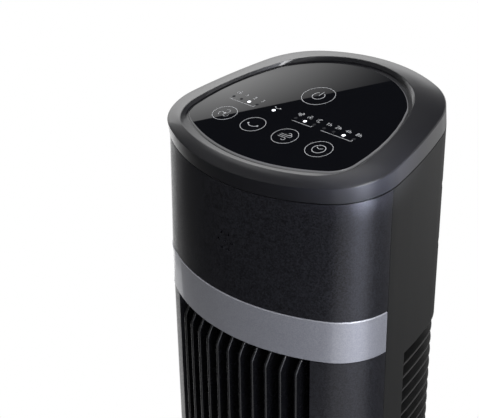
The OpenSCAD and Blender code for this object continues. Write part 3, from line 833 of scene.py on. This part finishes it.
wind(*MODE, 4.2)
swing_arc(SWING[0], SWING[1] - 1.2, 3.6)
blades(*SPEED, 4.4)

# %% [markdown]
# Beside each touch area is a row of lamps on a thin bracket, with the setting that each
# lamp stands for above it: hours for the timer, small signs for the mode, steps for speed.

# %% Lamp rows
LAMP_Y = -13.3
SPEED_LAMP_Y = LAMP_Y - 0.7
LABEL_Y = -8.4
SIGN = 1.9
LIT_R = 1.15
DARK_R = 1.05
timer_xs = (22.9, 30.2, 37.7, 45.4)
mode_xs = (0.7, 8.0, 15.3)
speed_xs = (-50.2, -43.7, -37.1, -30.5)
# Start, end and level of the bracket under each row
BRACKETS = ((22.9, 45.7, -16.2), (0.6, 15.5, -16.4), (-50.7, -30.5, -17.1))
for start, end, y in BRACKETS:
    ribbon([(start, y), (end, y)])
    ribbon([(end - LINE / 2, y), (end - LINE / 2, y + 1.6)])
for x, text in zip(timer_xs, ("1h", "2h", "4h", "8h")):
    label(text, x, LABEL_Y, height=2.7)
for x, text in zip(speed_xs[1:], ("1", "2", "3")):
    label(text, x + 0.4, LABEL_Y - 0.5, height=2.5)
blades(speed_xs[0] + 0.2, LABEL_Y - 0.2, SIGN)
wind(mode_xs[0], LABEL_Y, SIGN)
blades(mode_xs[1], LABEL_Y, SIGN)
moon(mode_xs[2], LABEL_Y, 1.8)
swing_arc(SWING[0] - 0.4, LABEL_Y - 2.2, SIGN)

printed = join("printed_marks", marks)
lay_on_glass(printed, PRINT_T)
finish(printed, "tower", "diffuser_white", smooth=20)

lit_places = (
    (timer_xs[2], LAMP_Y), (mode_xs[1], LAMP_Y),
    (SWING[0] - 0.7, LAMP_Y - 0.3), (speed_xs[2], SPEED_LAMP_Y),
)
lit_lamps = join("lit_lamps", [dot(*place, LIT_R) for place in lit_places])
lay_on_glass(lit_lamps, PRINT_T)
finish(lit_lamps, "tower", "diffuser_white", smooth=20)

rows = ((timer_xs, LAMP_Y), (mode_xs, LAMP_Y), (speed_xs, SPEED_LAMP_Y))
dark = [dot(x, y, DARK_R) for xs, y in rows for x in xs if (x, y) not in lit_places]
dark_lamps = join("dark_lamps", dark)
lay_on_glass(dark_lamps, WINDOW_T)
finish(dark_lamps, "tower", "touch_glass", smooth=20)

# %% [markdown]
# ## Base cover
#
# The round foot is a glossy moulding: a rounded edge, a low dome, and a hollow sweep up to
# the collar that the tower turns over. It is turned like a plate on a lathe, from a section
# drawn out and back along the wall, and has a hole at the back for the grommet.

# %% Base cover
BASE_R = 150
COLLAR_R = 48
EDGE_R = 6
EDGE_Z = 13
SWEEP_R = 14
INLET_R = 5
INLET_Z = 11
# Radius and height of each corner, up the outside and back down the inside
section = [(BASE_R - 0.6, 4), (BASE_R, 4.6), (BASE_R, EDGE_Z)]
section += arc(BASE_R - EDGE_R, EDGE_Z, EDGE_R, 15, 75, 4)
section += [(142, 19.3), (126, 21.0), (110, 22.5), (93, 24.0), (78, 25.6), (68, 26.8)]
section += arc(COLLAR_R + SWEEP_R, 41.5, SWEEP_R, 258, 193, 5)
section += [(COLLAR_R, 39), (COLLAR_R - 0.3, 39.7), (COLLAR_R - 1, 40), (34, 40), (34, 36.4), (11, 36.4)]
section += [(11, 32), (44, 32), (44, 23), (93, 20.6), (142, 16.2), (147, 12), (147, 4), (BASE_R - 0.6, 4)]
TURNS = 160
cover = wrap("base_cover_moulding", [
    [(x, y, z) for x, y in arc(0, 0, r, 0, 360, TURNS)[:-1]] for r, z in section
])
deselect()
bpy.ops.mesh.primitive_cylinder_add(
    vertices=32, radius=INLET_R * MM, depth=14 * MM, rotation=(math.pi / 2, 0, 0),
    location=Vector((0, BASE_R - 2, INLET_Z)) * MM,
)
bore(cover, name_piece("drill"))
finish(cover, "base", "abs_gloss_black", ["base_cover"])

# %% [markdown]
# ## Finishes
#
# Colours are written as on a paint chart, in sRGB hex, and one function turns them to the
# linear values that the shader wants. Patterns read Object coordinates in metres, so their
# scale comes straight from the size of a grain in millimetres.

# %% Material helpers


def colour(code):
    """An sRGB hex colour as linear RGBA."""
    values = [int(code[i:i + 2], 16) / 255 for i in (1, 3, 5)]
    return [v / 12.92 if v <= 0.04045 else ((v + 0.055) / 1.055) ** 2.4 for v in values] + [1]


def per(size_mm):
    """Texture scale that makes one grain about this many millimetres."""
    return 1000 / size_mm


def add(tree, kind, inputs=None, **settings):
    """Adds a node with its settings. Inputs are values, or sockets to link."""
    node = tree.nodes.new("ShaderNode" + kind)
    for key, value in settings.items():
        setattr(node, key, value)
    for key, value in (inputs or {}).items():
        if isinstance(value, bpy.types.NodeSocket):
            tree.links.new(value, node.inputs[key])
        else:
            node.inputs[key].default_value = value
    return node


def begin(name, **constants):
    """A new material: its tree, its main shader with constants set, and the place socket."""
    material = bpy.data.materials.new(name)
    material.use_nodes = True
    tree = material.node_tree
    shader = tree.nodes["Principled BSDF"]
    for key, value in constants.items():
        shader.inputs[key.replace("_", " ")].default_value = value
    place = add(tree, "TexCoord").outputs["Object"]
    return material, tree, shader, place


def noise(tree, place, size_mm, detail=2):
    """A cloudy pattern with grains of about this many millimetres."""
    grains = {"Vector": place, "Scale": per(size_mm), "Detail": detail}
    return add(tree, "TexNoise", grains).outputs["Fac"]


def cell_tones(tree, place, size_mm):
    """One random tone for each cell of about this many millimetres."""
    cells = add(tree, "TexVoronoi", {"Vector": place, "Scale": per(size_mm)})
    return add(tree, "SeparateColor", {"Color": cells.outputs["Color"]}).outputs["Red"]


def tint(tree, shader, factor, code_a, code_b):
    """Mixes two colours by a pattern, into the base colour."""
    mix = add(tree, "Mix", {0: factor, 6: colour(code_a), 7: colour(code_b)}, data_type="RGBA")
    tree.links.new(mix.outputs[2], shader.inputs["Base Color"])


def gloss(tree, shader, pattern, low, high):
    """Lets a pattern vary the roughness between two values."""
    spread = add(tree, "MapRange", {"Value": pattern, "To Min": low, "To Max": high})
    tree.links.new(spread.outputs["Result"], shader.inputs["Roughness"])


def relief(tree, shader, pattern, depth_mm):
    """Raises the surface by a pattern, to a depth in millimetres."""
    bump = add(tree, "Bump", {"Height": pattern, "Distance": depth_mm * MM, "Strength": 1})
    tree.links.new(bump.outputs["Normal"], shader.inputs["Normal"])


WHITE = (1, 1, 1, 1)
FINISH = {}

# %% [markdown]
# ### Sprayed metallic black on ABS
#
# A black lacquer with fine aluminium flakes. Away from the light it is nearly black; in the
# light the flakes turn it to a sparkling blue grey. Voronoi cells of about 0.7 mm stand for
# the flakes, coarser than real ones so that they show.

# %% Metallic black
material, tree, shader, place = begin(
    "sprayed_metallic_black_abs", Metallic=0.5, Coat_Weight=0.15, Coat_Roughness=0.3
)
flakes = cell_tones(tree, place, 0.7)
grain = noise(tree, place, 0.9, 3)
tint(tree, shader, flakes, "#19181d", "#2a2b32")
gloss(tree, shader, flakes, 0.3, 0.44)
relief(tree, shader, grain, 0.05)
FINISH["shell_metallic_black"] = material

# %% [markdown]
# ### Spark-textured dark grey ABS
#
# The rear shell is plain moulded plastic. The mould was spark-eroded, which leaves an even,
# very fine grain with no direction, and a dry look with soft wide highlights.

# %% Matt dark grey
material, tree, shader, place = begin("spark_textured_grey_abs", Specular_IOR_Level=0.3)
grain = noise(tree, place, 0.6, 4)
cloud = noise(tree, place, 60)
tint(tree, shader, cloud, "#121211", "#181817")
gloss(tree, shader, grain, 0.48, 0.6)
relief(tree, shader, grain, 0.04)
FINISH["shell_matt_grey"] = material

# %% [markdown]
# ### Satin dark grey lacquer
#
# The control cap is sprayed in a smooth satin lacquer, a little metallic, that holds a
# clean highlight along its crease.

# %% Satin grey
material, tree, shader, place = begin("satin_grey_lacquer", Metallic=0.1, Specular_IOR_Level=0.45)
grain = noise(tree, place, 0.5, 3)
cloud = noise(tree, place, 35)
tint(tree, shader, grain, "#19191c", "#202024")
gloss(tree, shader, cloud, 0.26, 0.32)
relief(tree, shader, grain, 0.008)
FINISH["cap_satin_grey"] = material

# %% [markdown]
# ### Silver lacquer
#
# Fine aluminium paint on the trim band, under a thin clear coat. The paint reflects broadly,
# with a very faint sparkle, and the coat holds the bright line along the upper edge.

# %% Silver
material, tree, shader, place = begin(
    "silver_lacquer", Metallic=0.5, Coat_Weight=0.5, Coat_Roughness=0.08
)
flakes = cell_tones(tree, place, 0.5)
tint(tree, shader, flakes, "#95969e", "#a3a4ab")
gloss(tree, shader, flakes, 0.36, 0.46)
FINISH["band_silver"] = material

# %% [markdown]
# ### Black-backed glass
#
# Float glass printed black on its back. It shows hardly any colour of its own, only a sharp
# reflection, and touch leaves faint smears that dull it in places. Its ground edge is a
# frosty grey, its own tone, with a painted glow: it emits a little light, which stands in for its bright
# line.

# %% Touch glass
material, tree, shader, place = begin("black_backed_glass", IOR=1.52)
smear = noise(tree, place, 28, 4)
tint(tree, shader, smear, "#0b0c10", "#0e0f13")
gloss(tree, shader, smear, 0.0, 0.012)
FINISH["touch_glass"] = material

# %% Ground glass edge, with a painted glow
# The emission is a painted glow. It gives the edge light of its own, standing in for the bright line along
# it.
material, tree, shader, place = begin(
    "ground_glass_edge", Emission_Color=WHITE, Emission_Strength=0.12
)
frost = noise(tree, place, 1.5, 3)
tint(tree, shader, frost, "#4a4a4f", "#5a5a60")
gloss(tree, shader, frost, 0.08, 0.14)
PAINTED_GLOW_EDGE = material

# %% [markdown]
# ### Moulded plastics and rubber
#
# The other mouldings differ only in colour, gloss and grain, so they are made in one loop:
# name, two close tones, roughness from and to, grain in millimetres and its depth.

# %% Plastics
PLASTICS = {
    "rubber_black": ("moulded_rubber", "#171717", "#202020", 0.7, 0.85, 1.2, 0.06),
    "abs_black": ("moulded_black_abs", "#0b0b0b", "#101010", 0.38, 0.5, 0.7, 0.008),
    "abs_gloss_black": ("polished_black_abs", "#101013", "#141417", 0.22, 0.32, 6, 0.003),
    "diffuser_white": ("white_polycarbonate", "#d2d3d6", "#e0e1e3", 0.35, 0.45, 1.5, 0.01),
    "acetal_white": ("white_acetal", "#dcdad2", "#e8e6de", 0.3, 0.42, 2, 0.01),
    "impeller_plastic": ("glass_filled_polyamide", "#1b1c1f", "#26272b", 0.45, 0.6, 0.8, 0.05),
}
for slot, (name, tone_a, tone_b, rough_a, rough_b, size, depth) in PLASTICS.items():
    material, tree, shader, place = begin(name)
    grain = noise(tree, place, size, 4)
    cloud = noise(tree, place, 45)
    tint(tree, shader, cloud, tone_a, tone_b)
    gloss(tree, shader, grain, rough_a, rough_b)
    relief(tree, shader, grain, depth)
    FINISH[slot] = material

# %% [markdown]
# ### Metals
#
# Zinc plating has cloudy crystals, castings a pebbled skin, and ground steel a fine grain.
# A metal gets its colour from its reflection, so its base colour is light and Metallic is 1.

# %% Metals
METALS = {
    "bronze": ("sintered_bronze", "#8f6d38", "#b28a4c", 0.4, 0.55, 0.5, 0.03),
    "cast_alloy": ("die_cast_aluminium", "#8d8f91", "#a9abad", 0.4, 0.55, 1.4, 0.06),
    "steel_zinc": ("zinc_plated_steel", "#9b9da0", "#c1c3c6", 0.28, 0.42, 3, 0.01),
    "steel_plain": ("ground_steel", "#a2a3a5", "#b8b9bb", 0.22, 0.36, 0.4, 0.01),
}
for slot, (name, tone_a, tone_b, rough_a, rough_b, size, depth) in METALS.items():
    material, tree, shader, place = begin(name, Metallic=1)
    grain = noise(tree, place, size, 5)
    tint(tree, shader, grain, tone_a, tone_b)
    gloss(tree, shader, grain, rough_a, rough_b)
    relief(tree, shader, grain, depth)
    FINISH[slot] = material

# %% [markdown]
# ### Copper winding and circuit board
#
# Enamelled wire lies in rows round the stator, so bands along Z stand for it, 0.8 mm apart,
# which is a little coarser. Each band runs from light copper to dark brown, and the dark between
# the rows is painted shade. A circuit board is green solder mask over copper tracks, which
# show as slightly lighter lines.

# %% Winding
# A wave texture of scale 1 has about this many bands to a unit of length
WAVE_BANDS = 3.14
material, tree, shader, place = begin("enamelled_copper_wire", Metallic=0.9)
layers = {"Vector": place, "Scale": per(0.8) / WAVE_BANDS, "Distortion": 0.6}
wire_rows_and_shade = add(tree, "TexWave", layers, bands_direction="Z").outputs["Fac"]
# The tint turns dark brown between the rows of wire: painted shade.
tint(tree, shader, wire_rows_and_shade, "#5c2c12", "#b5713a")
gloss(tree, shader, wire_rows_and_shade, 0.28, 0.45)
relief(tree, shader, wire_rows_and_shade, 0.2)
FINISH["copper_winding"] = material

# %% Circuit board
material, tree, shader, place = begin("green_circuit_board", Coat_Weight=0.3)
cells = add(tree, "TexVoronoi", {"Vector": place, "Scale": per(5)}, feature="DISTANCE_TO_EDGE")
tracks = cells.outputs["Distance"]
lines = add(tree, "MapRange", {"Value": tracks, "From Min": 0.04, "From Max": 0.08}).outputs["Result"]
tint(tree, shader, lines, "#4c7a4e", "#25503a")
gloss(tree, shader, lines, 0.3, 0.4)
FINISH["board_green"] = material

# %% [markdown]
# ### Lamps and print
#
# A lit lamp is a white LED behind a small window, so it gives light of its own. An unlit
# one is the same window with nothing behind it, a shade lighter than the glass. The ink of
# the marks is a slightly uneven light grey.

# %% Lamps and print
material, tree, shader, place = begin(
    "lit_lamp_window", Roughness=0.4, Emission_Color=colour("#f4f6ff"), Emission_Strength=1.2
)
glow = noise(tree, place, 2)
tint(tree, shader, glow, "#eef0f4", "#ffffff")
LIT = material

material, tree, shader, place = begin("dark_lamp_window", Roughness=0.9, Specular_IOR_Level=0.1)
haze = noise(tree, place, 1)
tint(tree, shader, haze, "#1b1c1f", "#232428")
DARK = material

material, tree, shader, place = begin("white_screen_ink", Roughness=0.55)
ink = noise(tree, place, 0.8)
tint(tree, shader, ink, "#a8a9ac", "#c4c5c8")
INK = material

# %% Give every piece and every CAD part its finish
slots = {part["node"]: part["material_slot"] for part in frame["record"]["subparts"]}
painted = {node: FINISH[slots[name]] for name, node in frame["nodes"].items()}
for piece in bpy.data.objects:
    if piece.type == "MESH" and "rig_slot" in piece:
        painted[piece] = FINISH[piece["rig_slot"]]
painted[printed] = INK
painted[glass_edge] = PAINTED_GLOW_EDGE
painted[lit_lamps] = LIT
painted[dark_lamps] = DARK
for piece, material in painted.items():
    piece.data.materials.clear()
    piece.data.materials.append(material)
print("finishes given to", len(painted), "objects")

# %% [markdown]
# ## Studio
#
# A white sweep, a tall soft box on the right with a small one for the cap's lip, and a large
# soft light above. Cards stand all round, and only reflections see them: the bright ones
# give the glass, the rim and the band their lines and slopes of light, and the dark flags
# keep the black faces black, as they do in a real studio. The floor turns to plain white
# away from the base but keeps the shadow round it.

# %% What the camera and the reflections see


def seen_share(tree):
    """1 for rays from the camera, from a reflection or through glass, and 0 for light."""
    path = add(tree, "LightPath").outputs
    direct = add(tree, "Math", {0: path["Is Camera Ray"], 1: path["Is Glossy Ray"]}, operation="MAXIMUM")
    seen = add(tree, "Math", {0: direct.outputs[0], 1: path["Is Transmission Ray"]}, operation="MAXIMUM")
    return seen.outputs[0]


def bare_tree(owner):
    owner.use_nodes = True
    owner.node_tree.nodes.clear()
    return owner.node_tree


# %% Floor
FLOOR_SIZE = 24
# Distances from the swing axis, in metres, between which the floor turns to plain white
FADE_FROM = 0.3
FADE_TO = 0.8
deselect()
bpy.ops.mesh.primitive_plane_add(size=FLOOR_SIZE, location=(0, 0, 0))
floor = name_piece("floor")
material = bpy.data.materials.new("white_sweep")
tree = bare_tree(material)
away = add(tree, "VectorMath", {0: add(tree, "TexCoord").outputs["Object"]}, operation="LENGTH")
blend = add(tree, "MapRange", {"Value": away.outputs["Value"], "From Min": FADE_FROM, "From Max": FADE_TO})
share = add(tree, "Math", {0: seen_share(tree), 1: blend.outputs["Result"]}, operation="MULTIPLY")
paper = add(tree, "BsdfDiffuse", {"Color": colour("#f2f2f0")})
white = add(tree, "Emission", {"Color": WHITE, "Strength": 1})
surface = add(tree, "MixShader", {0: share.outputs[0], 1: paper.outputs[0], 2: white.outputs[0]})
add(tree, "OutputMaterial", {"Surface": surface.outputs[0]})
floor.data.materials.append(material)

# %% World
AMBIENT = 0.45
world = bpy.data.worlds.new("studio")
bpy.context.scene.world = world
tree = bare_tree(world)
ambient = add(tree, "Background", {"Color": WHITE, "Strength": AMBIENT})
white = add(tree, "Background", {"Color": WHITE, "Strength": 1})
surface = add(tree, "MixShader", {0: seen_share(tree), 1: ambient.outputs[0], 2: white.outputs[0]})
add(tree, "OutputWorld", {"Surface": surface.outputs[0]})

# %% Soft lights


def soft_light(name, place, target, size, power, tone):
    """A rectangular soft box that faces a target, its places in mm and its size in metres."""
    data = bpy.data.lights.new(name, "AREA")
    data.shape = "RECTANGLE"
    data.size, data.size_y = size
    data.energy = power
    data.color = colour(tone)[:3]
    lamp = bpy.data.objects.new(name, data)
    bpy.context.collection.objects.link(lamp)
    lamp.location = Vector(place) * MM
    lamp.rotation_euler = (Vector(target) - Vector(place)).to_track_quat("-Z", "Y").to_euler()
    lamp.visible_camera = False
    return lamp


def around(azimuth, distance, height):
    """A place round the fan: azimuth 0 is in front and 90 on its right-hand side (+X)."""
    turn = math.radians(azimuth)
    return (distance * math.sin(turn), -distance * math.cos(turn), height)


soft_light("right_soft_box", around(74, 1300, 1050), (0, 0, 950), (0.55, 1.7), 10.5, "#e6ecff")
grid_box = soft_light("right_grid_box", around(74, 420, 885), (72, -32, 949), (0.06, 0.03), 0.055, "#e6ecff")
grid_box.data.spread = math.radians(9)
top_box = soft_light("top_soft_box", (100, 500, 2600), (0, 0, 900), (1.6, 1.6), 22, "#ffffff")
top_box.visible_glossy = False

# %% Cards and flags


def card(name, corners, brightness, *grades):
    """A flat stage card that only reflections see. Each grade scales its light along an axis,
    given as the axis, two distances in mm along it, and the share of light at each."""
    piece = wrap(name, [[corners[0], corners[1]], [corners[3], corners[2]]], closed=False)
    piece.visible_camera = False
    piece.visible_diffuse = False
    piece.visible_shadow = False
    material = bpy.data.materials.new(name)
    tree = bare_tree(material)
    place = add(tree, "TexCoord").outputs["Object"]
    for axis, start, end, share_a, share_b in grades:
        reach = add(tree, "VectorMath", {0: place, 1: axis}, operation="DOT_PRODUCT")
        grade = add(tree, "MapRange", {
            "Value": reach.outputs["Value"], "From Min": start * MM, "From Max": end * MM,
            "To Min": share_a, "To Max": share_b,
        })
        scaled = add(tree, "Math", {0: brightness, 1: grade.outputs["Result"]}, operation="MULTIPLY")
        brightness = scaled.outputs[0]
    light = add(tree, "Emission", {"Color": WHITE, "Strength": brightness})
    add(tree, "OutputMaterial", {"Surface": light.outputs[0]})
    piece.data.materials.append(material)


def upright(name, azimuth_a, azimuth_b, distance, low, high, brightness, *grades):
    """An upright card between two azimuths."""
    a = Vector(around(azimuth_a, distance, low))
    b = Vector(around(azimuth_b, distance, low))
    rise = Vector((0, 0, high - low))
    card(name, [a, b, b + rise, a + rise], brightness, *grades)


UP = Vector((0, 0, 1))
CARD_TOP = 2445
edge_a = Vector((-1763, 1256, CARD_TOP))
edge_b = Vector((-1451, 1557, CARD_TOP))
along = (edge_b - edge_a).normalized()
inward = Vector((along.y, -along.x, 0)) * 1300
left = edge_a - along * 1600
right = edge_b + along * 1600
down = Vector((0, 0, -1100))
card(
    "back_card", [left + down, right + down, right, left], 2.8,
    (along, edge_a.dot(along), edge_b.dot(along), 1.0, 0.1), (UP, 2345, CARD_TOP, 0.8, 0.32),
)
card("top_flag", [left, right, right + inward, left + inward], 0.01)
# Azimuths from and to, distance, lowest and highest z, light
upright("back_right_card", 100, 190, 2500, 500, 1700, 1.1, (UP, 700, 1400, 0.25, 1))
upright("back_low_card", 190, 265, 2500, 500, 1700, 2, (UP, 700, 1400, 0.25, 1))
upright("front_flag", -92, 38, 1500, 0, 2000, 0.01)
upright("front_card", -65, 20, 1480, 1220, 1520, 9)
upright("right_high_card", 64, 84, 1280, 1300, 2250, 30)
upright("left_card", -95, -60, 1400, 1120, 1600, 3.5)
upright("left_back_card", -135, -103, 1500, 1440, 1850, 3.8)
upright("left_low_card", -142, -104, 1500, 0, 420, 2.2)
upright("left_flag", -104, -92, 1500, 0, 700, 0.45)
heading = Vector((0.83, 0.56, 0))
aside = Vector((-0.56, 0.83, 0))
middle = Vector((-750, -250, 2440))
reaches = ((-1100, -1050), (1000, -1050), (1000, 800), (-1100, 800))
card(
    "top_card", [middle + heading * u + aside * v for u, v in reaches], 4.4,
    (aside, middle.dot(aside) - 800, middle.dot(aside) + 350, 0.25, 1),
    (heading, middle.dot(heading) - 700, middle.dot(heading) + 600, 0.75, 0.45),
)
ceiling = [Vector((x, y, 2500)) for x, y in ((-1700, -1300), (2000, -1300), (2000, 1500), (-1700, 1500))]
card("ceiling", ceiling, 0.35)
low_right = [around(a, r, 60) for a, r in ((96, 300), (96, 2600), (200, 2600), (200, 300))]
card("right_floor_card", low_right, 0.12)

# %% [markdown]
# ## Camera
#
# The camera looks down on the control cap from the front right.

# %% Camera
CAMERA_PLACE = (0.44024, -0.49114, 1.21934)
CAMERA_BACK = Vector((0.6055, -0.6491, 0.4604))
data = bpy.data.cameras.new("camera")
data.sensor_width = 36
data.lens = 89.98
data.shift_x = -0.101
data.clip_start = 0.01
camera = bpy.data.objects.new("camera", data)
bpy.context.collection.objects.link(camera)
camera.location = CAMERA_PLACE
camera.rotation_euler = CAMERA_BACK.to_track_quat("Z", "Y").to_euler()
bpy.context.scene.camera = camera
bpy.context.scene.view_settings.view_transform = "Standard"
